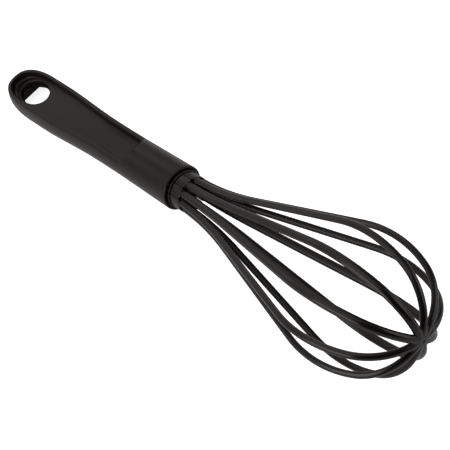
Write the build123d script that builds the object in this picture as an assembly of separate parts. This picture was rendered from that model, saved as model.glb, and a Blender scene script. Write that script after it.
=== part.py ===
from build123d import *
import math
import os

# A balloon whisk moulded in black nylon: a one-piece handle with a hanging eye,
# and a head whose ten ribs fold back from a hub at the tip into the handle's collar.
# Each piece is drawn about the whisk's own axis: X runs from the collar's mouth at
# zero to the tip, Z is square to the flats of the handle. The finished whisk is then
# laid down on its lowest rib and the end of its handle.

# Ribs, measured to the centre line of a rib
rib_count = 10
rib_width = 3.92
rib_thickness = 3.0
root_radius = 7.6
straight_root = 3.9
flare_radius = 124.0
flare_angle = 16.6
balloon_radius = 31.3
shoulder_radius = 54.0
crown_drop = 3.6
tip_flat_radius = 1.45

# Hub where the ribs meet, and the mark of the mould's gate in its middle
hub_radius = 6.3
hub_depth = 9.0
gate_radius = 0.75
gate_depth = 0.35

# Root blocks: wedges on the ribs' ends that close up to a ring inside the collar. The flange
# starts inside the collar's mouth and reaches out of it
block_radius = 9.3
block_front = 8.0
block_length = 34.0
block_core_radius = 1.2
block_nose = 0.5
seam_angle = 1.6
flange_radius = 9.8
flange_seat = 0.8
flange_reach = 1.4
bead_radius = 9.85
bead_width = 2.0
bead_depth = 15.6
socket_clearance = 0.25

# Collar of the handle: a socket with a little draft, a rounded lip and a scooped back
collar_length = 34.5
collar_mouth_radius = 11.35
collar_back_radius = 10.8
lip_rounding = 0.5
mouth_step_radius = 10.2
mouth_step_depth = 1.6
scoop_length = 5.35
scoop_hollow = 0.3

# Grip: a flat bar that swells towards the hanging eye
grip_length = 98.2
flat_height = 6.16
neck_gap = 0.06
waist_place = 30.5
waist_half_width = 10.98
swell_place = 60.5
swell_half_width = 12.38
eye_half_width = 12.42
end_length = 23.0
end_corner_share = 0.757
eye_side_bulge = 1.25
side_level_shares = (-1, -0.5, 0, 0.5, 1)

# Pockets sunk in both flats, and the web between them
rim_width = 1.68
web_thickness = 5.0
pocket_draft = 0.5

# Shallow tongue in each pocket's floor, deepest beside the collar
tongue_depth = 0.35
tongue_half_width = 5.5
tongue_gap = 2.6
tongue_length = 30.0
tongue_end_length = 9.0

# Hanging eye through the web, narrowest at the mould's parting plane, and the sill
# across its far end on the underside
eye_place = 81.0
eye_half_length = 9.35
eye_half_breadth = 7.25
eye_draft = 0.7
sill_width = 3.3

overrun = 3.0


def after_turn(start, heading, radius, turn):
    # point reached from start by an arc of that radius which turns the heading
    chord = 2 * radius * math.sin(abs(turn) / 2)
    way = heading + turn / 2
    return start + Vector(math.cos(way), 0, math.sin(way)) * chord


def arc_edge(start, heading, radius, turn):
    middle = after_turn(start, heading, radius, turn / 2)
    return ThreePointArc(start, middle, after_turn(start, heading, radius, turn))


def flank_length():
    flare = math.radians(flare_angle)
    rise = balloon_radius - root_radius
    return (rise - (flare_radius + shoulder_radius) * (1 - math.cos(flare))) / math.sin(flare)


def rib_path():
    # straight root, flare, straight flank, shoulder, crown, and square in to the axis
    flare = math.radians(flare_angle)
    crown_radius = balloon_radius - crown_drop
    beyond = shoulder_radius - balloon_radius + tip_flat_radius
    fall = math.acos(beyond / (shoulder_radius - crown_radius))
    flank_way = Vector(math.cos(flare), 0, math.sin(flare))
    root = Line((-flange_seat, 0, root_radius), (straight_root, 0, root_radius))
    flaring = arc_edge(root @ 1, 0, flare_radius, flare)
    flanking = Line(flaring @ 1, (flaring @ 1) + flank_way * flank_length())
    shoulder = arc_edge(flanking @ 1, flare, shoulder_radius, -(flare + fall))
    crown = arc_edge(shoulder @ 1, -fall, crown_radius, fall - math.pi / 2)
    inward = Line(crown @ 1, ((crown @ 1).X, 0, 0))
    return Wire([root, flaring, flanking, shoulder, crown, inward])


def shoulder_centre():
    # centre of the shoulder's arc, which touches the widest circle of the balloon
    flare = math.radians(flare_angle)
    arcs = (flare_radius + shoulder_radius) * math.sin(flare)
    along = straight_root + arcs + flank_length() * math.cos(flare)
    return Vector(along, 0, balloon_radius - shoulder_radius)


def rib_section(start):
    # two flat arcs that meet in the parting edge on each side of the rib
    plane = Plane(origin=start, x_dir=(0, 1, 0), z_dir=(1, 0, 0))
    left = (-rib_width / 2, 0)
    right = (rib_width / 2, 0)
    outer = ThreePointArc(left, (0, rib_thickness / 2), right)
    inner = ThreePointArc(right, (0, -rib_thickness / 2), left)
    return plane * make_face([outer, inner])


def full_rib():
    path = rib_path()
    return sweep(rib_section(path @ 0), path=path)


def hub_zone(path_end):
    # prism with one flat for each rib, round the tip
    start = path_end.X - hub_depth
    side = RegularPolygon(hub_radius, rib_count, major_radius=False, rotation=180 / rib_count)
    plane = Plane(origin=(start, 0, 0), x_dir=(0, 1, 0), z_dir=(1, 0, 0))
    return extrude(plane * side, hub_depth + overrun)


def root_block():
    # radial profile of a wedge, from its inner end to its nose, swept round the axis
    back = block_front - block_length
    bead_back = -bead_depth - bead_width
    bead_rise = bead_radius - block_radius
    profile = Polyline(
        (back, 0, block_core_radius),
        (back, 0, block_radius - block_nose),
        (back + block_nose, 0, block_radius),
        (bead_back, 0, block_radius),
        (bead_back + bead_rise, 0, bead_radius),
        (bead_back + bead_width - bead_rise, 0, bead_radius),
        (bead_back + bead_width, 0, block_radius),
        (-flange_seat, 0, block_radius),
        (-flange_seat, 0, flange_radius),
        (flange_reach, 0, flange_radius),
        (flange_reach, 0, block_radius),
        (block_front - block_nose, 0, block_radius),
        (block_front, 0, block_radius - block_nose),
        (block_front, 0, block_core_radius),
        close=True,
    )
    spread = 360 / rib_count - seam_angle
    face = make_face(profile).rotate(Axis.X, -spread / 2)
    return revolve(face, Axis.X, spread)


def turned(piece, index):
    return piece.rotate(Axis.X, 360 / rib_count * index)


def rib_piece(rib, zone):
    return (rib - zone) + root_block()


def hub(rib, zone):
    end = rib_path() @ 1
    arm = rib & zone
    star = arm
    for index in range(1, rib_count):
        star = star + turned(arm, index)
    face = end.X + rib_thickness / 2
    plane = Plane(origin=(face - gate_depth, 0, 0), x_dir=(0, 1, 0), z_dir=(1, 0, 0))
    return star - extrude(plane * Circle(gate_radius), gate_depth + overrun)


def half_width_points(height, inset):
    # places along the grip from the collar, with the half width there at that height
    share = (height / flat_height) ** 2
    neck_radius = collar_back_radius - neck_gap
    neck_bulge = neck_radius - math.sqrt(neck_radius**2 - height**2)
    eye_bulge = eye_side_bulge * share
    straight = grip_length - end_length
    stations = [
        (0, neck_radius),
        (waist_place, waist_half_width),
        (swell_place, swell_half_width),
        (straight, eye_half_width),
    ]
    points = []
    for along, half_width in stations:
        bulge = neck_bulge + (eye_bulge - neck_bulge) * along / straight
        points.append(Vector(-collar_length - along, half_width - bulge - inset, 0))
    return points, eye_bulge


def grip_wire(level, height, inset):
    # plan outline of the grip, drawn in by inset, as it is at that height of its side
    points, eye_bulge = half_width_points(height, inset)
    last = points[-1]
    reach = end_length - eye_bulge - inset
    corner = Vector(last.X - reach * end_corner_share, last.Y * end_corner_share, 0)
    end = Vector(last.X - reach, 0, 0)
    back = Vector(-1, 0, 0)
    side = Spline(points, tangents=[back, back])
    rounding = Spline([last, corner, end], tangents=[back, Vector(0, -1, 0)])
    far_points = [Vector(point.X, -point.Y, 0) for point in points]
    far_side = Spline(far_points[::-1], tangents=[-back, -back])
    far_corner = Vector(corner.X, -corner.Y, 0)
    far_rounding = Spline([end, far_corner, far_points[-1]], tangents=[Vector(0, -1, 0), -back])
    across = Line(far_points[0], points[0])
    outline = Wire([side, rounding, far_rounding, far_side, across])
    return outline.moved(Location((0, 0, level)))


def grip_body():
    # side faces bulge between the two flats
    levels = [flat_height * share for share in side_level_shares]
    wires = [grip_wire(level, abs(level), 0) for level in levels]
    return Solid.make_loft(wires, False)


def pocket_wire(level):
    floor = web_thickness / 2
    rise = (flat_height - level) / (flat_height - floor)
    return grip_wire(level, flat_height, rim_width + pocket_draft * rise)


def pocket():
    floor = web_thickness / 2
    return Solid.make_loft([pocket_wire(floor), pocket_wire(flat_height + overrun)], True)


def tongue():
    # the floor slopes down towards the collar inside an outline with a round end
    floor = web_thickness / 2
    apex = -collar_length - tongue_gap
    bar_length = tongue_length - tongue_end_length
    bar = Pos(apex - tongue_end_length - bar_length / 2, 0) * Rectangle(bar_length, 2 * tongue_half_width)
    end = Pos(apex - tongue_end_length, 0) * Ellipse(tongue_end_length, tongue_half_width)
    outline = extrude(Plane.XY.offset(floor - tongue_depth) * (bar + end), tongue_depth + overrun)
    start = (apex - tongue_length, 0, floor)
    deepest = (apex, 0, floor - tongue_depth)
    ramp = Polyline(start, deepest, (apex, 0, floor + overrun), (start[0], 0, floor + overrun), close=True)
    return outline & extrude(make_face(ramp), tongue_half_width, both=True)


def scoop():
    # hollow slope from the flat up to the collar's top, seen from the side
    start = Vector(-collar_length, 0, flat_height)
    end = Vector(scoop_length - collar_length, 0, collar_mouth_radius)
    chord = (end - start).normalized()
    middle = (start + end) / 2 + Vector(chord.Z, 0, -chord.X) * scoop_hollow
    slope = ThreePointArc(start, middle, end)
    above = Vector(0, 0, collar_mouth_radius)
    rest = Polyline(end, end + above, start + above, start)
    return extrude(make_face([slope, rest]), collar_mouth_radius, both=True)


def eye_cuts():
    # both halves narrow towards the parting plane; the lower one stops at the sill
    place = Pos(-collar_length - eye_place, 0, 0)
    level = web_thickness / 2
    narrow = Wire.make_ellipse(eye_half_length - eye_draft, eye_half_breadth - eye_draft)
    wide = Wire.make_ellipse(eye_half_length, eye_half_breadth)
    wide_above = wide.moved(Pos(0, 0, level))
    wide_below = wide.moved(Pos(0, 0, -level))
    upper = Solid.make_loft([narrow, wide_above], True)
    lower = Solid.make_loft([narrow, wide_below], True)
    sill_top = (eye_draft - eye_half_length, 0, 0)
    sill_edge = (sill_width - eye_half_length, 0, -level)
    sill_side = Polyline(sill_top, sill_edge, (sill_top[0] - sill_width, 0, -level), close=True)
    sill = extrude(make_face(sill_side), eye_half_breadth, both=True)
    return [place * upper, place * (lower - sill)]


def collar():
    profile = Polyline(
        (-collar_length, 0, 0),
        (-collar_length, 0, collar_back_radius),
        (0, 0, collar_mouth_radius),
        (0, 0, 0),
        close=True,
    )
    body = revolve(make_face(profile), Axis.X, 360)
    front_edge = body.edges().filter_by(GeomType.CIRCLE).sort_by(Axis.X)[-1]
    return fillet(front_edge, lip_rounding)


def socket():
    # bore with a step at the mouth, a groove for the bead and a flat bottom
    bore = block_radius + socket_clearance
    bottom = block_front - block_length - socket_clearance
    groove_back = -bead_depth - bead_width - socket_clearance
    groove_front = groove_back + bead_width + 2 * socket_clearance
    groove_radius = bead_radius + socket_clearance
    groove_rise = groove_radius - bore
    profile = Polyline(
        (bottom, 0, 0),
        (bottom, 0, bore),
        (groove_back, 0, bore),
        (groove_back + groove_rise, 0, groove_radius),
        (groove_front - groove_rise, 0, groove_radius),
        (groove_front, 0, bore),
        (-mouth_step_depth, 0, bore),
        (-mouth_step_depth, 0, mouth_step_radius),
        (overrun, 0, mouth_step_radius),
        (overrun, 0, 0),
        close=True,
    )
    return revolve(make_face(profile), Axis.X, 360)


def handle():
    body = grip_body() + collar()
    for cut in (pocket(), tongue(), scoop()):
        body = body - cut - mirror(cut, about=Plane.XY)
    for cut in eye_cuts():
        body = body - cut
    return body - socket()


def laying_down(pieces):
    # turns the whisk so that its lowest rib and the end of its handle touch the table
    heel = Vector(-collar_length - grip_length + eye_side_bulge, 0, -flat_height)
    centre = shoulder_centre()
    reach = shoulder_radius + rib_thickness / 2
    across = centre.X - heel.X
    up = -centre.Z - heel.Z
    tilt = math.degrees(math.asin(reach / math.hypot(across, up)) - math.atan2(up, across))
    tipped = Rotation(0, -tilt, 0)
    box = Compound(children=[tipped * piece for piece in pieces.values()]).bounding_box()
    drop = Location((-box.center().X, -box.center().Y, -box.min.Z))
    return drop * tipped


def build():
    path_end = rib_path() @ 1
    rib = full_rib()
    zone = hub_zone(path_end)
    one_rib = rib_piece(rib, zone)
    pieces = {"handle": handle(), "hub": hub(rib, zone)}
    for index in range(rib_count):
        pieces[f"rib_{index + 1:02d}"] = turned(one_rib, index)
    return pieces


os.makedirs("parts", exist_ok=True)
whisk = build()
resting = laying_down(whisk)
for name, piece in whisk.items():
    export_step(resting * piece, f"parts/{name}.step")
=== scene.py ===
import bpy
import bmesh
import math
from mathutils import Matrix, Vector
from mathutils.geometry import delaunay_2d_cdt


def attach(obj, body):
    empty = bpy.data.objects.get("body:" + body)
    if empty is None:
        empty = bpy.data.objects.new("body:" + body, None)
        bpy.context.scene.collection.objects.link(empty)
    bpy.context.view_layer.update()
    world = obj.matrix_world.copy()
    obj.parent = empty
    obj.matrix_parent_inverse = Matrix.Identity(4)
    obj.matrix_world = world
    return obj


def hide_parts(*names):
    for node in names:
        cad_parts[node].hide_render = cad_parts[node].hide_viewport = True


# Moulded nylon balloon whisk. Shapes are drawn about the whisk's own axis in millimetres:
# X from the collar's mouth to the tip, Z square to the flats. Then they are laid on the table.

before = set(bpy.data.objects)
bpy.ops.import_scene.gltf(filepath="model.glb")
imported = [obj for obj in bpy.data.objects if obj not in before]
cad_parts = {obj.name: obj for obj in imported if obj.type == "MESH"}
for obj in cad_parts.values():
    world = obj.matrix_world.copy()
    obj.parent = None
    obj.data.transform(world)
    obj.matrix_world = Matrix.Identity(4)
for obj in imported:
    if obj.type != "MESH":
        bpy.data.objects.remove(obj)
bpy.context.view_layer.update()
print("frame loaded:", len(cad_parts), "nodes")

mm = 0.001
resting = {"tilt": 6.39422, "mouth": (-8.21467, 0.0, 20.7611)}  # degrees, millimetres
laidDown = (Matrix.Translation(Vector(resting["mouth"]) * mm)
            @ Matrix.Rotation(math.radians(-resting["tilt"]), 4, "Y")
            @ Matrix.Scale(mm, 4))


# Node trees

class Flow:
    # a socket of a node tree, so that a sum of sockets is written as a sum
    def __init__(self, tree, socket=None):
        self.tree = tree
        self.socket = socket

    def node(self, kind, settings=None, values=None):
        made = self.tree.nodes.new(kind)
        for name, value in (settings or {}).items():
            setattr(made, name, value)
        for key, value in (values or {}).items():
            if isinstance(value, Flow):
                self.tree.links.new(value.socket, made.inputs[key])
            else:
                made.inputs[key].default_value = value
        return made

    def out(self, made, key=0):
        return Flow(self.tree, made.outputs[key])

    def sum(self, operation, *terms):
        made = self.node("ShaderNodeMath", {"operation": operation}, dict(enumerate(terms)))
        return self.out(made)

    def __add__(self, other):
        return self.sum("ADD", self, other)

    def __radd__(self, other):
        return self.sum("ADD", other, self)

    def __sub__(self, other):
        return self.sum("SUBTRACT", self, other)

    def __rsub__(self, other):
        return self.sum("SUBTRACT", other, self)

    def __mul__(self, other):
        return self.sum("MULTIPLY", self, other)

    def __rmul__(self, other):
        return self.sum("MULTIPLY", other, self)

    def __truediv__(self, other):
        return self.sum("DIVIDE", self, other)

    def sin(self):
        return self.sum("SINE", self)

    def cos(self):
        return self.sum("COSINE", self)

    def clamped(self, top):
        # from zero to top
        return self.sum("MINIMUM", self.sum("MAXIMUM", self, 0.0), top)


# Finishes

handleFinish = {
    "colour": (0.0075, 0.0045, 0.0038, 1), "paler": (0.0105, 0.0063, 0.0054, 1), "gloss": 0.25,
    "roughness": 0.29, "roughnessSwing": 0.07, "grain": 0.03, "grainSize": 2600.0,
}
headFinish = {
    "colour": (0.0030, 0.0023, 0.0019, 1), "paler": (0.0046, 0.0036, 0.0031, 1), "gloss": 0.36,
    "roughness": 0.23, "roughnessSwing": 0.06, "grain": 0.015, "grainSize": 3200.0,
}
sheen = (1.0, 0.93, 0.91, 1)  # black nylon's highlights are faintly warm
nylonMarks = {  # what both finishes share
    "drift": (55.0, 4.0, 0.55), "flecks": (700.0, 3.0, 0.6),  # scale, detail, roughness
    "grain": (2.0, 0.5),  # detail, roughness; its scale is the finish's grainSize
    "driftShade": 1.6, "fleckShade": 0.7, "fleckGloss": 0.05,
    "fleckHeight": 0.6, "grainHeight": 0.00002,
}


def nylon(name, look):
    # black nylon: faint flow marks in its colour and gloss, and the mould's fine grain
    material = bpy.data.materials.new(name)
    material.use_nodes = True
    tree = material.node_tree
    tree.nodes.clear()
    flow = Flow(tree)
    place = flow.out(flow.node("ShaderNodeTexCoord"), "Object")

    def noise(scale, detail, roughness):
        return flow.out(flow.node("ShaderNodeTexNoise", None, {
            "Vector": place, "Scale": scale, "Detail": detail, "Roughness": roughness}), "Fac")

    marks = nylonMarks
    drift = noise(*marks["drift"])
    flecks = noise(*marks["flecks"])
    fine = noise(look["grainSize"], *marks["grain"])
    shade = (drift - 0.5) * marks["driftShade"] + (flecks - 0.5) * marks["fleckShade"] + 0.5
    colour = flow.out(flow.node("ShaderNodeMix", {"data_type": "RGBA"}, {
        0: shade.clamped(1.0), 6: look["colour"], 7: look["paler"]}), 2)
    roughness = (look["roughness"] + (drift - 0.5) * look["roughnessSwing"]
                 + (flecks - 0.5) * marks["fleckGloss"])
    bump = flow.node("ShaderNodeBump", None, {
        "Strength": look["grain"], "Distance": marks["grainHeight"],
        "Height": fine + flecks * marks["fleckHeight"]})
    surface = flow.node("ShaderNodeBsdfPrincipled", None, {
        "Base Color": colour, "Roughness": roughness, "IOR": 1.5,
        "Specular IOR Level": look["gloss"], "Specular Tint": sheen, "Normal": flow.out(bump)})
    flow.node("ShaderNodeOutputMaterial", None, {"Surface": flow.out(surface)})
    return material


handleNylon = nylon("satinBlackNylon", handleFinish)
headNylon = nylon("glossBlackNylon", headFinish)
print("finishes made")


# Mesh helpers

meshing = {"merge": 1e-4, "collapse": 1e-5, "handleCrease": 34, "headCrease": 40}  # mm, degrees


def numbered(points, rows):
    # adds the rows to the list of points and gives their numbers there
    numbers = []
    for row in rows:
        numbers.append(list(range(len(points), len(points) + len(row))))
        points.extend(row)
    return numbers


def bridged(rows, closed):
    # quads between equal rows of point numbers
    faces = []
    count = len(rows[0])
    for a, b in zip(rows, rows[1:]):
        for i in range(count if closed else count - 1):
            j = (i + 1) % count
            faces.append((a[i], a[j], b[j], b[i]))
    return faces


def solidMesh(name, points, faces, material):
    # one closed shell, doubles merged and faces turned outwards
    shell = bmesh.new()
    made = [shell.verts.new(p) for p in points]
    for face in faces:
        if len(set(face)) == len(face):
            shell.faces.new([made[i] for i in face])
    bmesh.ops.remove_doubles(shell, verts=shell.verts, dist=meshing["merge"])
    bmesh.ops.dissolve_degenerate(shell, edges=shell.edges, dist=meshing["collapse"])
    bmesh.ops.recalc_face_normals(shell, faces=shell.faces)
    mesh = bpy.data.meshes.new(name)
    shell.to_mesh(mesh)
    shell.free()
    mesh.materials.append(material)
    piece = bpy.data.objects.new(name, mesh)
    bpy.context.scene.collection.objects.link(piece)
    return piece


def baked(piece, crease):
    # modifiers become mesh, and only edges above the crease angle stay sharp
    graph = bpy.context.evaluated_depsgraph_get()
    mesh = bpy.data.meshes.new_from_object(piece.evaluated_get(graph), depsgraph=graph)
    piece.modifiers.clear()
    piece.data = mesh
    mesh.shade_smooth()
    mesh.set_sharp_from_angle(angle=math.radians(crease))
    return piece


def fused(piece, other, crease):
    union = piece.modifiers.new("fused", "BOOLEAN")
    union.operation = "UNION"
    union.solver = "EXACT"
    union.object = other
    baked(piece, crease)
    bpy.data.objects.remove(other)
    return piece


def smoothed(low, high, value):
    share = min(max((value - low) / (high - low), 0.0), 1.0)
    return share * share * (3 - 2 * share)


def arcBetween(a, corner, b, count):
    # rounded corner from a to b, as rows of points
    rows = []
    for step in range(count + 1):
        u = step / count
        rows.append([p * (1 - u) ** 2 + c * 2 * u * (1 - u) + q * u * u
                     for p, c, q in zip(a, corner, b)])
    return rows


# Grip: a flat bar with a pocket in both flats and a hanging eye through the web

gripSizes = {
    "collarLength": 34.5, "length": 98.2, "halfHeight": 6.16, "neckRadius": 10.775,
    "stations": [(0.0, 10.775), (30.5, 10.98), (60.5, 12.38), (75.2, 12.42)],  # place, half width
    "endLength": 23.0, "endSquareness": 2.5, "sideBulge": 1.25, "runOn": 1.4,
    "rim": 1.68, "pocketDraft": 0.5, "floor": 2.5,
    "creaseRounding": 0.32, "rimRounding": 0.24, "footRounding": 0.35, "endFootRounding": 1.15,
    "footSwell": (13.0, 4.5),  # from the grip's end, where the foot gets rounder
    "partingRidge": 0.03, "ridgeRows": [(0.0, 1.0), (0.07, 0.6), (0.16, 0.0)],  # level, share of it
    "sideShares": (0.2, 0.4, 0.6, 0.78), "wallShare": 0.4, "sideSteps": 48, "endSteps": 30,
}
eyeSizes = {
    "place": 81.0, "halfLength": 9.35, "halfBreadth": 7.25, "draft": 0.7, "sill": 3.3, "steps": 96,
    "rounding": 0.3, "beadHeight": 0.42, "beadStart": 0.03, "beadWidth": 0.95, "beadSteps": 6,
    "beadTurn": (-0.15, 0.75), "beadFade": (0.01, 0.4),
    "wallRows": [(1.3, 0.0), (0.14, 0.0), (1e-9, -0.07)],  # level, growth; last the parting ridge
}
tongueSizes = {
    "gap": 2.6, "length": 30.0, "endLength": 9.0, "halfWidth": 5.5, "depth": 0.5, "edge": 0.52,
    "edgeShares": (0.0, 0.18, 0.336, 0.448, 0.552, 0.664, 0.82, 1.0), "sideSteps": 24, "endSteps": 32,
}
floorGrid = {  # loose points of the floor's mesh, clear of its edge, of the collar and of the eye
    "rows": 44, "columns": 5, "firstRow": 1.0, "rowPitch": 1.6, "columnPitch": 1.7,
    "edgeRoom": 0.35, "collarRoom": 0.5, "eyeLength": 11.2, "eyeBreadth": 9.0,
}
eyeCentre = -gripSizes["collarLength"] - eyeSizes["place"]
tongueApex = -gripSizes["collarLength"] - tongueSizes["gap"]


def curveSlopes(stations):
    # slopes of the smooth curve through the stations, level at both ends
    slopes = [0.0] * len(stations)
    for _ in range(40):
        for i in range(1, len(stations) - 1):
            (x0, y0), (x1, y1), (x2, y2) = stations[i - 1:i + 2]
            a, b = 1 / (x1 - x0), 1 / (x2 - x1)
            pull = 3 * ((y1 - y0) * a * a + (y2 - y1) * b * b)
            slopes[i] = (pull - slopes[i - 1] * a - slopes[i + 1] * b) / (2 * (a + b))
    return slopes


gripSlopes = curveSlopes(gripSizes["stations"])


def gripHalfWidth(along):
    stations = gripSizes["stations"]
    along = min(max(along, 0.0), stations[-1][0])
    for i in range(len(stations) - 1):
        (x0, y0), (x1, y1) = stations[i], stations[i + 1]
        if along <= x1:
            break
    h = x1 - x0
    t = (along - x0) / h
    return (y0 * (1 + 2 * t) * (1 - t) ** 2 + gripSlopes[i] * h * t * (1 - t) ** 2
            + y1 * t * t * (3 - 2 * t) + gripSlopes[i + 1] * h * t * t * (t - 1))


def gripRow(level, inset=0.0, height=None):
    # the grip's outline at a level, drawn in by inset, from the near side round the end to the far
    # side; with a height, the outline at that height is laid at the level
    s = gripSizes
    height = abs(level) if height is None else height
    straight = s["length"] - s["endLength"]
    neck = s["neckRadius"] - math.sqrt(s["neckRadius"] ** 2 - height ** 2)
    eye = s["sideBulge"] * (height / s["halfHeight"]) ** 2
    half = []
    for i in range(s["sideSteps"] + 1):
        along = straight * i / s["sideSteps"]
        bulge = neck + (eye - neck) * along / straight
        half.append((-s["collarLength"] - along, gripHalfWidth(along) - bulge - inset))
    half.insert(0, (-s["collarLength"] + s["runOn"], half[0][1]))  # runs on into the collar
    reach = s["endLength"] - eye - inset
    breadth = half[-1][1]
    power = 2 / s["endSquareness"]
    for i in range(1, s["endSteps"] + 1):
        turn = math.pi / 2 * (1 - i / s["endSteps"])
        half.append((-s["collarLength"] - straight - reach * math.cos(turn) ** power,
                     breadth * math.sin(turn) ** power))
    outline = [(x, -y) for x, y in half] + [(x, y) for x, y in half[-2::-1]]
    return [Vector((x, y, level)) for x, y in outline]


pocketRows = {}


def pocketRow(level, inset):
    # a row inside the pocket, kept because the foot's rounding asks for the same rows often
    key = (round(level, 4), round(inset, 4))
    if key not in pocketRows:
        pocketRows[key] = gripRow(level, inset, gripSizes["halfHeight"])
    return pocketRows[key]


def wallRow(down, side):
    s = gripSizes
    inset = s["rim"] + s["pocketDraft"] * down / (s["halfHeight"] - s["floor"])
    return pocketRow(side * (s["halfHeight"] - down), inset)


def floorRow(inward, side):
    s = gripSizes
    return pocketRow(side * s["floor"], s["rim"] + s["pocketDraft"] + inward)


def footRounding(point):
    # the pocket's foot is rounder at the end beyond the eye
    s = gripSizes
    start, stop = s["footSwell"]
    endShare = smoothed(s["length"] - start, s["length"] - stop, -point.x - s["collarLength"])
    return s["footRounding"] + (s["endFootRounding"] - s["footRounding"]) * endShare


def gripHalfRows(side):
    # rows from the parting plane up (side 1) or down (side -1) to the pocket's floor
    s = gripSizes
    top = s["halfHeight"]
    depth = top - s["floor"]
    crease, inner = s["creaseRounding"], s["rimRounding"]
    rows = [gripRow(side * level, -s["partingRidge"] * share) for level, share in s["ridgeRows"]]
    rows += [gripRow(side * top * share) for share in s["sideShares"]]
    rows += arcBetween(gripRow(side * (top - crease)), gripRow(side * top),
                       gripRow(side * top, crease), 5)
    rows += arcBetween(gripRow(side * top, s["rim"] - inner, top), wallRow(0.0, side),
                       wallRow(inner, side), 4)
    rows.append(wallRow(depth * s["wallShare"], side))
    foot = wallRow(depth, side)
    radii = [footRounding(point) for point in foot]
    above = [wallRow(depth - radius, side)[i] for i, radius in enumerate(radii)]
    beyond = [floorRow(radius, side)[i] for i, radius in enumerate(radii)]
    return rows + arcBetween(above, foot, beyond, 6)


def eyeLoop(level, grow=0.0):
    # the eye's outline at a level of the web, grown by a width; below, a sill cuts its far end straight
    s = eyeSizes
    floor = gripSizes["floor"]
    narrow = s["draft"] * (1 - min(abs(level), floor) / floor)
    half, breadth = s["halfLength"] - narrow + grow, s["halfBreadth"] - narrow + grow
    end = eyeCentre - half
    if level < 0:
        sill = s["draft"] + (s["sill"] - s["draft"]) * min(-level / floor, 1.0)
        end = eyeCentre - s["halfLength"] + sill - grow
    loop = []
    for i in range(s["steps"]):
        turn = 2 * math.pi * i / s["steps"]
        x = eyeCentre + half * math.cos(turn)
        loop.append(Vector((max(x, end), breadth * math.sin(turn), level)))
    return loop


def eyeBead(x, y):
    # a low bead beside the eye, highest at its far end
    s = eyeSizes
    dx = x - eyeCentre
    near = math.hypot(dx / s["halfLength"], y / s["halfBreadth"])
    out = (near - 1) * math.hypot(dx, y) / near - s["rounding"] if near > 0 else 0.0
    if not s["beadStart"] < out < s["beadWidth"]:
        return 0.0
    far = smoothed(*s["beadTurn"], -dx / math.hypot(dx, y))
    return s["beadHeight"] * far * math.sin(math.pi * out / s["beadWidth"]) ** 2


def edgeRise(depth, width, room):
    # two arcs, one hollow and one round, take the step down by that depth over that width
    room = min(max(room, 0.0), width)
    near = min(room, width - room)
    radius = (width * width + depth * depth) / (4 * depth)
    rise = radius - math.sqrt(max(radius * radius - near * near, 0.0))
    return rise if room < width / 2 else depth - rise


def tongueDepth(x, y):
    # the floor slopes down towards the collar inside the tongue's outline
    s = tongueSizes
    along = tongueApex - x
    if not 0 < along < s["length"]:
        return 0.0
    if along < s["endLength"]:
        room = 1 - math.hypot((s["endLength"] - along) / s["endLength"], y / s["halfWidth"])
        room *= s["halfWidth"]
    else:
        room = s["halfWidth"] - abs(y)
    return edgeRise(s["depth"] * (1 - along / s["length"]), s["edge"], room)


def tongueLoop(room):
    # open line inside the tongue's edge by that much
    s = tongueSizes
    share = 1 - room / s["halfWidth"]
    breadth, end = s["halfWidth"] * share, s["endLength"]
    line = []
    for i in range(s["sideSteps"] + 1):
        line.append((tongueApex - s["length"] + (s["length"] - end) * i / s["sideSteps"], -breadth))
    for i in range(1, s["endSteps"]):
        turn = math.pi * i / s["endSteps"]
        line.append((tongueApex - end + end * share * math.sin(turn), -breadth * math.cos(turn)))
    return line + [(x, -y) for x, y in line[s["sideSteps"]::-1]]


def insideLoop(p, loop):
    inside = False
    for (x0, y0), (x1, y1) in zip(loop, loop[1:] + loop[:1]):
        if (y0 > p[1]) != (y1 > p[1]) and p[0] < x0 + (p[1] - y0) / (y1 - y0) * (x1 - x0):
            inside = not inside
    return inside


def insideFloor(p, edge):
    # clear of the floor's edge by a little, so that no sliver forms there
    x, y = p[0], abs(p[1])
    if x >= -gripSizes["collarLength"] - floorGrid["collarRoom"]:
        return False
    return insideLoop((x - floorGrid["edgeRoom"], y + floorGrid["edgeRoom"]), edge)


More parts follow.
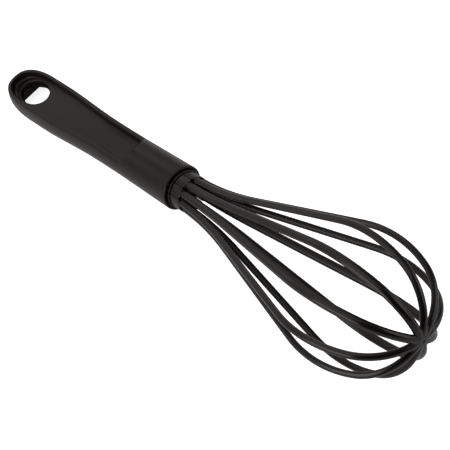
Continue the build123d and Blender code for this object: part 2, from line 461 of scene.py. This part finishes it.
def pocketFloor(outer, inner, side):
    # the floor between the pocket's foot and the eye, as triangles
    s, grid = gripSizes, floorGrid
    points, edges = [], []
    foot, hole = [[(p.x, p.y) for p in row] for row in (outer, inner)]

    def line(run, closed):
        start = len(points)
        points.extend(Vector(p) for p in run)
        edges.extend((start + i, start + i + 1) for i in range(len(run) - 1))
        if closed:
            edges.append((start + len(run) - 1, start))

    line(foot, True)
    line(hole, True)
    for share in tongueSizes["edgeShares"]:
        line(tongueLoop(tongueSizes["edge"] * share), False)
    loose = []
    loops = eyeSizes["beadSteps"]
    for i in range(1, loops + 1 if side > 0 else loops):  # below there is no bead, and a loop less
        grow = eyeSizes["rounding"] + eyeSizes["beadWidth"] * i / loops
        loose += [(p.x, p.y) for p in eyeLoop(side * s["floor"], grow)]
    for i in range(grid["rows"]):
        x = -s["collarLength"] - grid["firstRow"] - grid["rowPitch"] * i
        for j in range(-grid["columns"], grid["columns"] + 1):
            y = j * grid["columnPitch"]
            if math.hypot((x - eyeCentre) / grid["eyeLength"], y / grid["eyeBreadth"]) > 1:
                loose.append((x, y))
    points.extend(Vector(p) for p in loose if insideFloor(p, foot))
    places, _, triangles = delaunay_2d_cdt(points, edges, [], 1, meshing["collapse"])[:3]
    verts = []
    for p in places:
        level = s["floor"] - tongueDepth(p.x, p.y)
        bead = eyeBead(p.x, p.y) if side > 0 else 0.0
        if bead > 0:  # it runs out before the pocket's foot
            room = min(math.hypot(p.x - x, p.y - y) for x, y in foot)
            level += bead * smoothed(*eyeSizes["beadFade"], room)
        verts.append(Vector((p.x, p.y, side * level)))
    faces = []
    for face in triangles:
        middle = sum((places[i] for i in face), Vector((0, 0))) / len(face)
        if not insideLoop(middle, hole):
            faces.append(tuple(face))
    return verts, faces


def makeGrip():
    points, faces = [], []
    halves = []
    for side in (1, -1):
        rows = gripHalfRows(side)
        halves.append(rows)
        faces += bridged(numbered(points, rows), False)
        level = side * gripSizes["floor"]
        r = eyeSizes["rounding"]
        mouth = eyeLoop(level, r)
        walls = arcBetween(mouth, eyeLoop(level), eyeLoop(level - side * r), 4)
        walls += [eyeLoop(side * down, grow) for down, grow in eyeSizes["wallRows"]]
        faces += bridged(numbered(points, walls), True)
        verts, floorFaces = pocketFloor(rows[-1], mouth, side)
        start = len(points)
        points.extend(verts)
        faces.extend(tuple(start + i for i in face) for face in floorFaces)
    # the closed end inside the collar: the section's outline from its points there
    upper, lower = halves
    section = [row[0] for row in upper] + [row[-1] for row in reversed(upper)]
    section += [row[-1] for row in lower[1:]] + [row[0] for row in reversed(lower[1:])]
    faces.append(tuple(numbered(points, [section])[0]))
    return solidMesh("handle_nylon", points, faces, handleNylon)


# Collar: a socket with a rounded lip, scooped at the back above both flats

collarSizes = {
    "length": 34.5, "mouthRadius": 11.35, "backRadius": 10.8, "lipRounding": 0.62, "lipSteps": 6,
    "mouthStepRadius": 10.2, "mouthStepDepth": 1.6, "boreRadius": 9.55, "grooveRadius": 10.1,
    "grooveBack": -17.85, "grooveFront": -15.35, "grooveSlope": 0.55, "bottom": -26.25,
    "edge": 0.12, "edgeShare": 0.3, "corner": 0.02,
    "scoopLength": 5.35, "scoopHollow": 0.42, "scoopEdge": 0.75, "scoopEnd": 1.0,
    "scoopTurn": 55, "scoopSteps": 14,  # degrees from the top where the scoop's rows start
    "apexShares": (-0.3, -0.15, 0.15, 0.3, 0.5, 0.75, 1.0),  # rows beside its apex, in scoop edges
    "plainStart": 1.2, "plainSteps": 14,
    "flatSteps": 10, "edgeShares": (0.66, 0.33, 0.0, -0.33, -0.66, -1.0), "roundSteps": 24,
    "unscooped": 9,  # a scoop as high as this many radii leaves the row round
}


def scoopHeight(x):
    s = collarSizes
    share = (x + s["length"]) / s["scoopLength"]
    low = gripSizes["halfHeight"]
    return low + (s["mouthRadius"] - low) * share - s["scoopHollow"] * 4 * share * (1 - share)


def collarRadius(x):
    s = collarSizes
    return s["mouthRadius"] + (s["mouthRadius"] - s["backRadius"]) * x / s["length"]


def scoopPlace(turn):
    # where the scoop cuts the collar that many degrees from its top
    s = collarSizes
    aim = math.cos(math.radians(turn))
    back, front = -s["length"], -s["length"] + s["scoopLength"]
    for _ in range(40):
        middle = (back + front) / 2
        if scoopHeight(middle) < collarRadius(middle) * aim:
            back = middle
        else:
            front = middle
    return back


def scoopedRow(x, radius, scooped=False):
    # one quarter from the top to the side, then the other three; the columns follow the scoop's edge
    s = collarSizes
    k = s["scoopEdge"]
    height = scoopHeight(x) if scooped else radius * s["unscooped"] + k

    def turnAt(level):
        return math.acos(min(max(level / radius, -1.0), 1.0)) if level < radius else 0.0

    flat = turnAt(height + k)
    turns = [flat * i / s["flatSteps"] for i in range(s["flatSteps"] + 1)]
    turns += [turnAt(height + k * share) for share in s["edgeShares"]]
    last = turns[-1]
    turns += [last + (math.pi / 2 - last) * i / s["roundSteps"] for i in range(1, s["roundSteps"] + 1)]
    quarter = []
    for turn in turns:
        y, z = radius * math.sin(turn), radius * math.cos(turn)
        share = min(max(0.5 + 0.5 * (height - z) / k, 0.0), 1.0)
        quarter.append((y, z * share + height * (1 - share) - k * share * (1 - share)))
    ring = quarter + [(y, -z) for y, z in quarter[-2::-1]]
    ring += [(-y, z) for y, z in ring[-2:0:-1]]
    return [Vector((x, y, z)) for y, z in ring]


def makeCollar():
    s = collarSizes
    places = {-s["length"]}
    places |= {scoopPlace(s["scoopTurn"] * (1 - step / s["scoopSteps"]))
               for step in range(1, s["scoopSteps"] + 1)}
    apex = max(places)
    places |= {apex + s["scoopEdge"] * share for share in s["apexShares"]}
    lip, plain, steps = s["lipRounding"], s["plainStart"], s["plainSteps"]
    places |= {apex + plain + (-lip - apex - plain) * i / steps for i in range(steps + 1)}
    outer = [scoopedRow(x, collarRadius(x), x < apex + s["scoopEnd"]) for x in sorted(places)]
    rows = [[Vector((-s["length"], 0, 0))] * len(outer[0])] + outer
    for i in range(1, s["lipSteps"] + 1):
        turn = math.radians(90 / s["lipSteps"] * i)
        radius = s["mouthRadius"] - lip + lip * math.cos(turn)
        rows.append(scoopedRow(-lip + lip * math.sin(turn), radius))
    e, small, corner, slope = s["edge"], s["edge"] * s["edgeShare"], s["corner"], s["grooveSlope"]
    mouth, step, bore = s["mouthStepRadius"], -s["mouthStepDepth"], s["boreRadius"]
    inside = [(0.0, mouth + e), (-small, mouth + small), (-e, mouth),
              (step + corner, mouth), (step, mouth - corner), (step, bore + e), (step - e, bore),
              (s["grooveFront"], bore), (s["grooveFront"] - slope, s["grooveRadius"]),
              (s["grooveBack"] + slope, s["grooveRadius"]), (s["grooveBack"], bore),
              (s["bottom"], bore), (s["bottom"], 0.0)]
    rows += [scoopedRow(x, radius) for x, radius in inside]
    points = []
    numbers = numbered(points, rows)
    return solidMesh("collar_part", points, bridged(numbers, True), handleNylon)


handle = fused(makeGrip(), makeCollar(), meshing["handleCrease"])
handle.data.transform(laidDown)
print("handle made:", len(handle.data.polygons), "faces")


# Head: ten ribs that run from their wedges in the collar to the hub at the tip

ribSizes = {  # each name is also a socket of the rib's node tree
    "Count": 10, "Width": 3.92, "Thickness": 3.0, "Root radius": 7.6, "Root start": -0.8,
    "Straight root": 3.9, "Flare radius": 124.0, "Flare angle": math.radians(16.6),
    "Balloon radius": 31.3, "Shoulder radius": 54.0, "Crown drop": 3.6, "Tip flat": 1.45,
    "Hub reach": 6.3, "Parting ridge": 0.08,
}
ribMesh = {"steps": 150, "sides": 28, "ridgeFrom": 0.99, "snap": 0.001}
wedgeSizes = {
    "coreRadius": 1.2, "radius": 9.3, "front": 8.0, "length": 34.0, "nose": 0.5, "noseShare": 0.6,
    "flangeRadius": 9.8, "flangeSeat": 0.8, "flangeReach": 1.4,
    "beadRadius": 9.85, "beadWidth": 2.0, "beadDepth": 15.6,
    "seamAngle": 1.6, "rearNotch": 3.0, "frontNotch": 5.0,  # degrees
    "edge": 0.22, "notchDepth": 1.3, "notchRun": 1.3, "rearNotchEnd": 1.0, "seatSlack": 0.005,
    "coreStep": 1.6, "coreShares": (0.96, 0.9),  # of the sector's spread, above the core and at it
    "backRows": [(0.0, 0.0, 0.3), (0.1, 0.05, 0.06)],  # along, out, drawn in
    "seatStep": 0.01, "flangeBack": [(0.0, -0.12), (0.1, 0.0)],  # from the seat, from its radius
    "flangePlaces": (-0.3, 0.0, 0.35, 0.7, 1.0),
    "flangeFront": [(-0.14, 0.0), (-0.05, -0.03), (0.0, -0.12)],  # from its reach, from its radius
    "flangeFoot": [(0.04, -0.02), (0.12, -0.04), (0.25, 0.0)],  # from its reach, from the wedge's
    "frontPlaces": (3.0, 4.5, 6.0, 6.7, 7.0, 7.25),
}


def wedgeRow(x, radius, shrink=0.0):
    # sector of a ring with rounded corners; the two radial sides leave half a seam each,
    # which opens to a notch at the collar's lip and at the nose
    s = wedgeSizes
    spread = math.radians(180 / ribSizes["Count"] - s["seamAngle"] / 2)
    e, reach = s["edge"], s["notchRun"]
    notch = s["frontNotch"] * max(x + reach - s["front"], 0.0) ** 2 / reach ** 2
    if x > -s["flangeSeat"] - s["seatSlack"]:
        notch += s["rearNotch"] * min(max(s["rearNotchEnd"] - x, 0.0), reach)
    edge = spread - (shrink + e) / radius - math.radians(notch)
    run = []
    for i in range(5):
        turn = math.radians(22.5 * i)
        out = radius - shrink - e + e * math.cos(turn)
        run.append((edge + e * math.sin(turn) / out, out))
    run.append((spread - shrink / radius, radius - shrink - s["notchDepth"]))
    above, at = s["coreShares"]
    run.append((spread * above - shrink / 3, s["coreRadius"] + s["coreStep"]))
    run.append((spread * at - shrink / 3, s["coreRadius"] + shrink))
    row = [(-a, r) for a, r in reversed(run)]
    row += [(-edge + 2 * edge * i / 8, radius - shrink) for i in range(1, 8)] + run
    return [Vector((x, -r * math.sin(a), r * math.cos(a))) for a, r in row]


def makeWedge():
    s = wedgeSizes
    radius, flange, nose = s["radius"], s["flangeRadius"], s["nose"]
    back = s["front"] - s["length"]
    rise = s["beadRadius"] - radius
    beadBack = -s["beadDepth"] - s["beadWidth"]
    profile = [(back + nose, radius), (beadBack, radius), (beadBack + rise, s["beadRadius"]),
               (-s["beadDepth"] - rise, s["beadRadius"]), (-s["beadDepth"], radius),
               (-s["flangeSeat"] - s["seatStep"], radius)]
    profile += [(-s["flangeSeat"] + x, flange + out) for x, out in s["flangeBack"]]
    profile += [(x, flange) for x in s["flangePlaces"]]
    profile += [(s["flangeReach"] + x, flange + out) for x, out in s["flangeFront"]]
    profile += [(s["flangeReach"] + x, radius + out) for x, out in s["flangeFoot"]]
    profile += [(x, radius) for x in s["frontPlaces"]]
    rows = [wedgeRow(back + x, radius - nose + out, shrink) for x, out, shrink in s["backRows"]]
    rows += [wedgeRow(x, out) for x, out in profile]
    for i in range(6):
        turn = math.radians(18 * i)
        rows.append(wedgeRow(s["front"] - nose + nose * math.sin(turn), radius,
                             nose * (1 - math.cos(turn)) * s["noseShare"]))
    points = []
    numbers = numbered(points, rows)
    faces = bridged(numbers, True) + [tuple(numbers[0]), tuple(numbers[-1])]
    return solidMesh("wedge_part", points, faces, headNylon)


def ribPath(flow, size):
    # the rib's middle line in five runs, as in a plan: root, flare, flank, shoulder, crown
    flare, bigR, shoulderR = size["Flare angle"], size["Flare radius"], size["Shoulder radius"]
    crownR = size["Balloon radius"] - size["Crown drop"]
    beyond = shoulderR - size["Balloon radius"] + size["Tip flat"]
    fall = flow.sum("ARCCOSINE", beyond / (shoulderR - crownR))
    rise = size["Balloon radius"] - size["Root radius"] - (bigR + shoulderR) * (1.0 - flare.cos())
    flank = rise / flare.sin()
    root = size["Straight root"] - size["Root start"]
    crownEnd = flow.sum("ARCSINE", (size["Hub reach"] - size["Tip flat"]) / crownR)
    ends = [root]
    crownTurn = math.pi / 2 - fall - crownEnd
    for length in (bigR * flare, flank, shoulderR * (flare + fall), crownR * crownTurn):
        ends.append(ends[-1] + length)
    way = flow.out(flow.node("GeometryNodeSplineParameter"), "Factor") * ends[-1]
    run = [way.clamped(root)]
    for before, after in zip(ends, ends[1:]):
        run.append((way - before).clamped(after - before))
    bend, shoulder, crown = run[1] / bigR, run[3] / shoulderR, run[4] / crownR
    onCrown = flow.sum("GREATER_THAN", run[4], 0.0)
    along = (size["Root start"] + run[0] + bigR * bend.sin() + run[2] * flare.cos()
             + shoulderR * (flare.sin() - (flare - shoulder).sin())
             + crownR * ((fall + crown).sin() - fall.sin()) * onCrown)
    out = (size["Root radius"] + bigR * (1.0 - bend.cos()) + run[2] * flare.sin()
           + shoulderR * ((flare - shoulder).cos() - flare.cos())
           + crownR * ((fall + crown).cos() - fall.cos()) * onCrown)
    line = flow.node("GeometryNodeCurvePrimitiveLine", None, {"Start": (0, 0, 0), "End": (1, 0, 0)})
    even = flow.node("GeometryNodeResampleCurve", None, {
        "Curve": flow.out(line), "Count": ribMesh["steps"]})
    place = flow.out(flow.node("ShaderNodeCombineXYZ", None, {"X": along, "Z": out}))
    path = flow.out(flow.node("GeometryNodeSetPosition", None, {
        "Geometry": flow.out(even), "Position": place}))
    return flow.out(flow.node("GeometryNodeSetCurveNormal", {"mode": "Z_UP"}, {"Curve": path}))


def ribSection(flow, size):
    # two shallow arcs that meet in the mould's parting line, which stands proud a little
    circle = flow.node("GeometryNodeCurvePrimitiveCircle", {"mode": "RADIUS"}, {
        "Resolution": ribMesh["sides"], "Radius": 1.0})
    at = flow.node("ShaderNodeSeparateXYZ", None, {0: flow.out(flow.node("GeometryNodeInputPosition"))})
    sideways, up = flow.out(at, 0), flow.out(at, 1)
    half, thick = size["Width"] * 0.5, size["Thickness"] * 0.5
    curve = (half * half + thick * thick) / (thick * 2.0)
    across = sideways * half
    lens = flow.sum("SQRT", curve * curve - across * across) - (curve - thick)
    onRidge = flow.sum("GREATER_THAN", flow.sum("ABSOLUTE", sideways), ribMesh["ridgeFrom"])
    breadth = across + onRidge * size["Parting ridge"] * flow.sum("SIGN", sideways)
    upOrDown = flow.sum("SIGN", flow.sum("SNAP", up, ribMesh["snap"]))
    shape = flow.out(flow.node("ShaderNodeCombineXYZ", None, {"X": breadth, "Y": lens * upOrDown}))
    return flow.out(flow.node("GeometryNodeSetPosition", None, {
        "Geometry": flow.out(circle), "Position": shape}))


def ribTree():
    tree = bpy.data.node_groups.new("whisk rib", "GeometryNodeTree")
    kinds = {"Geometry": "Geometry", "Which rib": "Int", "Count": "Int"}
    kinds.update((name, "Float") for name in ribSizes if name != "Count")
    kinds.update(Wedge="Object", Material="Material")
    for name, kind in kinds.items():
        tree.interface.new_socket(name, in_out="INPUT", socket_type="NodeSocket" + kind)
    tree.interface.new_socket("Geometry", in_out="OUTPUT", socket_type="NodeSocketGeometry")
    flow = Flow(tree)
    given = tree.nodes.new("NodeGroupInput")
    size = {socket.name: Flow(tree, socket) for socket in given.outputs if socket.name}
    tube = flow.out(flow.node("GeometryNodeCurveToMesh", None, {
        "Curve": ribPath(flow, size), "Profile Curve": ribSection(flow, size), "Fill Caps": True}))
    wedge = flow.node("GeometryNodeObjectInfo", {"transform_space": "ORIGINAL"}, {
        "Object": size["Wedge"]})
    both = flow.node("GeometryNodeMeshBoolean", {"operation": "UNION", "solver": "EXACT"})
    tree.links.new(tube.socket, both.inputs["Mesh 2"])
    tree.links.new(wedge.outputs["Geometry"], both.inputs["Mesh 2"])

    # a ring of places round the axis, of which this rib takes one
    ring = flow.out(flow.node("GeometryNodePoints", None, {"Count": size["Count"]}))
    number = flow.out(flow.node("GeometryNodeInputIndex"))
    chosen = flow.out(flow.node("FunctionNodeCompare", {"data_type": "INT", "operation": "EQUAL"}, {
        2: number, 3: size["Which rib"]}))
    turn = flow.out(flow.node("ShaderNodeCombineXYZ", None, {
        "X": number * (2 * math.pi) / size["Count"]}))
    turned = flow.node("FunctionNodeEulerToRotation", None, {0: turn})
    placed = flow.out(flow.node("GeometryNodeInstanceOnPoints", None, {
        "Points": ring, "Selection": chosen, "Instance": flow.out(both), "Rotation": flow.out(turned)}))
    real = flow.out(flow.node("GeometryNodeRealizeInstances", None, {"Geometry": placed}))
    done = flow.out(flow.node("GeometryNodeSetMaterial", None, {
        "Geometry": real, "Material": size["Material"]}))
    flow.node("NodeGroupOutput", None, {"Geometry": done})
    return tree


def makeRib(tree, wedge, index):
    name = f"whisk_rib_{index + 1:02d}"
    piece = bpy.data.objects.new(name, bpy.data.meshes.new(name))
    bpy.context.scene.collection.objects.link(piece)
    grow = piece.modifiers.new("rib", "NODES")
    grow.node_group = tree
    values = {"Which rib": index, "Wedge": wedge, "Material": headNylon, **ribSizes}
    for item in tree.interface.items_tree:
        if item.in_out == "INPUT" and item.name in values:
            grow[item.identifier] = values[item.name]
    baked(piece, meshing["headCrease"])
    piece.data.name = name
    piece.data.transform(laidDown)
    return piece


wedge = makeWedge()
tree = ribTree()
ribs = [makeRib(tree, wedge, index) for index in range(ribSizes["Count"])]
bpy.data.objects.remove(wedge)
print("ribs made:", len(ribs), "of", len(ribs[0].data.polygons), "faces")


# Hub: the ribs' arms run together at the tip, with a small dimple of the mould's gate

hubSizes = {
    "crotch": 0.55, "gateDepth": 0.3, "gateRim": (0.5, 0.88),  # the dimple ends between these radii
    "middleStations": [0.0, 0.25, 0.5, 0.62, 0.75, 0.88, 1.1], "reachSteps": 14, "sideSteps": 14,
}


def crownPoint(out):
    # middle of the rib and its outward direction at that distance from the axis
    s = ribSizes
    flare = s["Flare angle"]
    crownR = s["Balloon radius"] - s["Crown drop"]
    beyond = s["Shoulder radius"] - s["Balloon radius"] + s["Tip flat"]
    fall = math.acos(beyond / (s["Shoulder radius"] - crownR))
    flank = (s["Balloon radius"] - s["Root radius"]
             - (s["Flare radius"] + s["Shoulder radius"]) * (1 - math.cos(flare))) / math.sin(flare)
    centreX = (s["Straight root"] + (s["Flare radius"] + s["Shoulder radius"]) * math.sin(flare)
               + flank * math.cos(flare) + (s["Shoulder radius"] - crownR) * math.sin(fall))
    lean = math.asin(max(out - s["Tip flat"], 0.0) / crownR)
    return (Vector((centreX + crownR * math.cos(lean), 0, out)),
            Vector((math.cos(lean), 0, math.sin(lean))))


def armRise(across, room):
    # from an arm's middle to its face; where arms still touch, the face levels out into their crotch
    half, thick = ribSizes["Width"] / 2, ribSizes["Thickness"] / 2
    curve = (half * half + thick * thick) / (2 * thick)
    start = max(room - hubSizes["crotch"], 0.0) if room < half else half
    rise = math.sqrt(curve ** 2 - min(abs(across), start) ** 2) - curve + thick
    past = abs(across) - start
    if past > 0:
        slope = start / math.sqrt(curve ** 2 - start ** 2)
        rise -= slope * (past - past * past / (2 * (room - start)))
    return max(rise, 0.0)


def hubArm():
    # one arm between its two neighbours, outer face then inner face
    s, steps, outSteps = ribSizes, hubSizes["sideSteps"], hubSizes["reachSteps"]
    half = s["Width"] / 2
    wedgeSlope = math.tan(math.pi / s["Count"])
    reach = s["Hub reach"] - s["Tip flat"]
    stations = list(hubSizes["middleStations"])
    stations += [s["Tip flat"] + reach * i / outSteps for i in range(outSteps + 1)]
    faces = []
    for side in (1, -1):
        rows = []
        for out in stations:
            middle, way = crownPoint(out)
            room = min(half, out * wedgeSlope)
            row = []
            for i in range(-steps, steps + 1):
                u = math.sin(math.pi / 2 * i / steps)
                across = u * room
                p = middle + way * (side * armRise(across, room))
                if side > 0:
                    rim = smoothed(*hubSizes["gateRim"], math.hypot(out, across))
                    p.x -= hubSizes["gateDepth"] * (1 - rim)
                if room < half:
                    across = u * p.z * wedgeSlope
                row.append(Vector((p.x, across, p.z)))
            rows.append(row)
        faces.append(rows)
    return faces


def makeHub():
    points, faces = [], []
    arm = hubArm()
    for index in range(ribSizes["Count"]):
        turn = Matrix.Rotation(2 * math.pi / ribSizes["Count"] * index, 3, "X")
        outer, inner = [numbered(points, [[turn @ p for p in row] for row in rows]) for rows in arm]
        faces += bridged(outer, False) + bridged(inner, False)
        faces.append(tuple(outer[-1]) + tuple(reversed(inner[-1][1:-1])))  # its end, against the rib
        for edge in (0, -1):  # the arm's free sides, where it has parted from its neighbours
            faces.append((outer[-2][edge], outer[-1][edge], inner[-1][edge], inner[-2][edge]))
    return solidMesh("whisk_hub", points, faces, headNylon)


hub = baked(makeHub(), meshing["headCrease"])
hub.data.transform(laidDown)
print("hub made:", len(hub.data.polygons), "faces")


# What stands for what

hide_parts("handle")
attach(handle, "root")
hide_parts("hub")
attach(hub, "root")
for index, rib in enumerate(ribs):
    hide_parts(f"rib_{index + 1:02d}")
    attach(rib, "root")
for name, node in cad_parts.items():
    node.data.materials.clear()
    node.data.materials.append(handleNylon if name == "handle" else headNylon)


# Table, light and camera

studio = {
    "camera": (0.34982, -0.16871, 0.54023), "lens": 111.4966, "sensor": 36.0, "clip": (0.01, 10.0),
    "turn": (2.416412, 0.85967, -0.701414),  # rotation vector from the whisk's axes to the picture's
    "sky": 0.02, "table": 0.86, "lift": 0.85, "tableReach": 3.0, "lampReach": 1.3, "lampSize": 1.05,
}
lamps = {  # direction from the whisk in degrees round and up, watts
    "overhead": (0, 90, 2.15), "right": (0, 45, 0.23), "farRightLow": (45, 14, 5.15),
    "farHigh": (70, 68, 0.55), "far": (90, 45, 0.40), "farLeftLow": (135, 14, 1.32),
    "farLeft": (135, 45, 1.89), "leftLow": (180, 14, 1.96), "left": (180, 45, 1.71),
    "nearLeftLow": (225, 14, 1.75), "nearLeft": (225, 45, 1.15), "nearHigh": (250, 68, 1.99),
    "nearLow": (270, 14, 9.82), "near": (270, 45, 1.08),
}


def makeTable():
    mesh = bpy.data.meshes.new("table")
    r = studio["tableReach"]
    mesh.from_pydata([(-r, -r, 0), (r, -r, 0), (r, r, 0), (-r, r, 0)], [], [(0, 1, 2, 3)])
    table = bpy.data.objects.new("table", mesh)
    bpy.context.scene.collection.objects.link(table)
    material = bpy.data.materials.new("whiteTable")
    material.use_nodes = True
    tree = material.node_tree
    tree.nodes.clear()
    flow = Flow(tree)
    matte = flow.out(flow.node("ShaderNodeBsdfDiffuse", None, {"Color": (studio["table"],) * 3 + (1,)}))
    glow = flow.node("ShaderNodeEmission", None, {"Color": (1, 1, 1, 1), "Strength": studio["lift"]})
    seen = flow.out(flow.node("ShaderNodeLightPath"), "Is Camera Ray")
    none = flow.out(flow.node("ShaderNodeEmission", None, {"Strength": 0.0}))
    lift = flow.out(flow.node("ShaderNodeMixShader", None, {0: seen, 1: none, 2: flow.out(glow)}))
    surface = flow.out(flow.node("ShaderNodeAddShader", None, {0: matte, 1: lift}))
    flow.node("ShaderNodeOutputMaterial", None, {"Surface": surface})
    mesh.materials.append(material)


def makeLamps():
    for name, (azimuth, elevation, power) in lamps.items():
        data = bpy.data.lights.new(name, "AREA")
        data.energy = power
        data.size = studio["lampSize"]
        light = bpy.data.objects.new(name, data)
        bpy.context.scene.collection.objects.link(light)
        turn, rise = math.radians(azimuth), math.radians(elevation)
        way = Vector((math.cos(rise) * math.cos(turn), math.cos(rise) * math.sin(turn), math.sin(rise)))
        light.location = way * studio["lampReach"]
        light.rotation_euler = way.to_track_quat("Z", "Y").to_euler()


def makeSky():
    world = bpy.data.worlds.new("studio")
    bpy.context.scene.world = world
    world.use_nodes = True
    tree = world.node_tree
    tree.nodes.clear()
    flow = Flow(tree)
    seen = flow.out(flow.node("ShaderNodeLightPath"), "Is Camera Ray")
    level = studio["sky"] + (1.0 - studio["sky"]) * seen
    glow = flow.node("ShaderNodeBackground", None, {"Color": (1, 1, 1, 1), "Strength": level})
    flow.node("ShaderNodeOutputWorld", None, {"Surface": flow.out(glow)})


def makeCamera():
    data = bpy.data.cameras.new("photo camera")
    data.lens = studio["lens"]
    data.sensor_width = studio["sensor"]
    data.clip_start, data.clip_end = studio["clip"]
    camera = bpy.data.objects.new("photo camera", data)
    bpy.context.scene.collection.objects.link(camera)
    vector = Vector(studio["turn"])
    picture = Matrix.Rotation(vector.length, 3, vector.normalized()).transposed()
    picture = picture @ Matrix.Diagonal((1, -1, -1))
    whole = Matrix.Rotation(math.radians(-resting["tilt"]), 3, "Y") @ picture
    camera.matrix_world = Matrix.Translation(studio["camera"]) @ whole.to_4x4()
    bpy.context.scene.camera = camera


makeTable()
makeLamps()
makeSky()
makeCamera()
bpy.context.scene.view_settings.view_transform = "Standard"
print("studio made")
